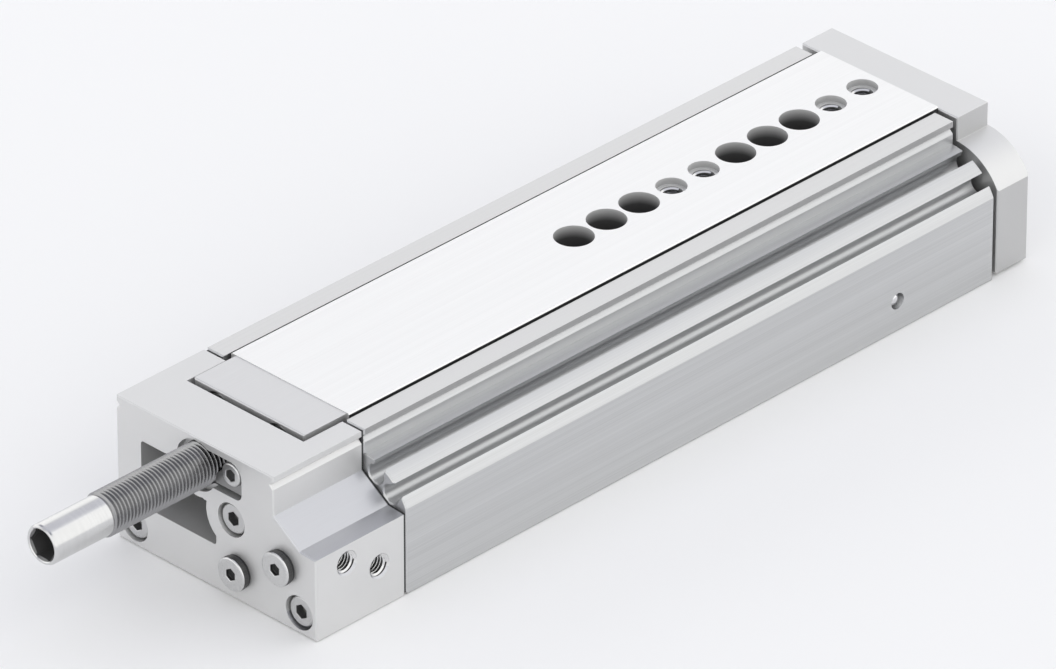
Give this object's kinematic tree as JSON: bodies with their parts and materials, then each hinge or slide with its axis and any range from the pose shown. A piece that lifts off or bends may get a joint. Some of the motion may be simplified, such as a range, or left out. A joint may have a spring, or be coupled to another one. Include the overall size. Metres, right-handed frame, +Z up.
{
  "type": "miniature linear slide",
  "caption": "Air-driven compact slide: grooved aluminium housing with cylinder and ball guide, sliding table with yoke plate, end cap with ports and threaded shock absorber.",
  "frame": {"origin": "middle of the housing's flat underside, which is the face that is bolted down", "axes": "+X from the end cap to the yoke plate, the way the table travels; +Z up; the side with the sensor slots and ports faces -Y"},
  "size_m": [0.2629, 0.0594, 0.0355],
  "materials": {
    "housing_aluminium": "brushed lengthwise and clear anodised",
    "cap_aluminium": "satin, clear anodised",
    "table_aluminium": "finely brushed lengthwise and clear anodised",
    "screw_steel": "zinc plated",
    "plug_steel": "nickel plated",
    "rail_steel": "ground and hardened",
    "ball_steel": "polished bearing steel",
    "absorber_steel": "turned thread, nickel plated sleeve",
    "rod_chrome": "hard chromed and polished",
    "seal_rubber": "black nitrile rubber",
    "bronze": "sintered bronze",
    "cage_brass": "stamped strip",
    "magnet_plastic": "plastic-bonded magnet"
  },
  "bodies": {
    "base": {"housing": "housing_aluminium", "rear_cap": "cap_aluminium", "cap_gasket": "seal_rubber", "cap_screws": "screw_steel", "clamp_jaw": "cap_aluminium", "clamp_screw": "screw_steel", "port_plugs": "plug_steel", "plug_seals": "seal_rubber", "duct_ball": "ball_steel", "rear_absorber_body": "absorber_steel", "front_absorber_body": "absorber_steel", "front_stop_block": "cap_aluminium", "front_block_screws": "screw_steel", "housing_rail_right": "rail_steel", "housing_rail_left": "rail_steel", "rod_guide": "cap_aluminium", "rod_guide_ring": "seal_rubber", "rod_bushing": "bronze", "rod_seal": "seal_rubber", "retaining_ring": "rail_steel"},
    "slide": {"slide_table": "table_aluminium", "slide_rail_right": "rail_steel", "slide_rail_left": "rail_steel", "stop_plate": "table_aluminium", "stop_plate_screws": "screw_steel", "yoke_plate": "cap_aluminium", "yoke_screws": "screw_steel", "yoke_dowels": "rail_steel", "piston_rod": "rod_chrome", "piston": "cap_aluminium", "piston_seals": "seal_rubber", "piston_magnet": "magnet_plastic", "rod_nut": "screw_steel"},
    "cage_right": {"ball_cage_right": "cage_brass", "cage_balls_right": "ball_steel"},
    "cage_left": {"ball_cage_left": "cage_brass", "cage_balls_left": "ball_steel"},
    "rear_absorber": {"rear_absorber_rod": "rod_chrome"},
    "front_absorber": {"front_absorber_rod": "rod_chrome"}
  },
  "joints": [
    {"name": "table_travel", "type": "slide", "parent": "base", "child": "slide", "axis": [1, 0, 0], "range_m": [0, 0.1]},
    {"name": "cage_right_travel", "type": "slide", "parent": "base", "child": "cage_right", "axis": [1, 0, 0], "range_m": [0, 0.05]},
    {"name": "cage_left_travel", "type": "slide", "parent": "base", "child": "cage_left", "axis": [1, 0, 0], "range_m": [0, 0.05]},
    {"name": "rear_absorber_press", "type": "slide", "parent": "base", "child": "rear_absorber", "axis": [1, 0, 0], "range_m": [-0.005, 0], "stiffness_N_per_m": 800},
    {"name": "front_absorber_press", "type": "slide", "parent": "base", "child": "front_absorber", "axis": [1, 0, 0], "range_m": [0, 0.005], "stiffness_N_per_m": 800}
  ],
  "couplings": [
    {"joint": "cage_right_travel", "follows": "table_travel", "ratio": 0.5},
    {"joint": "cage_left_travel", "follows": "table_travel", "ratio": 0.5}
  ]
}
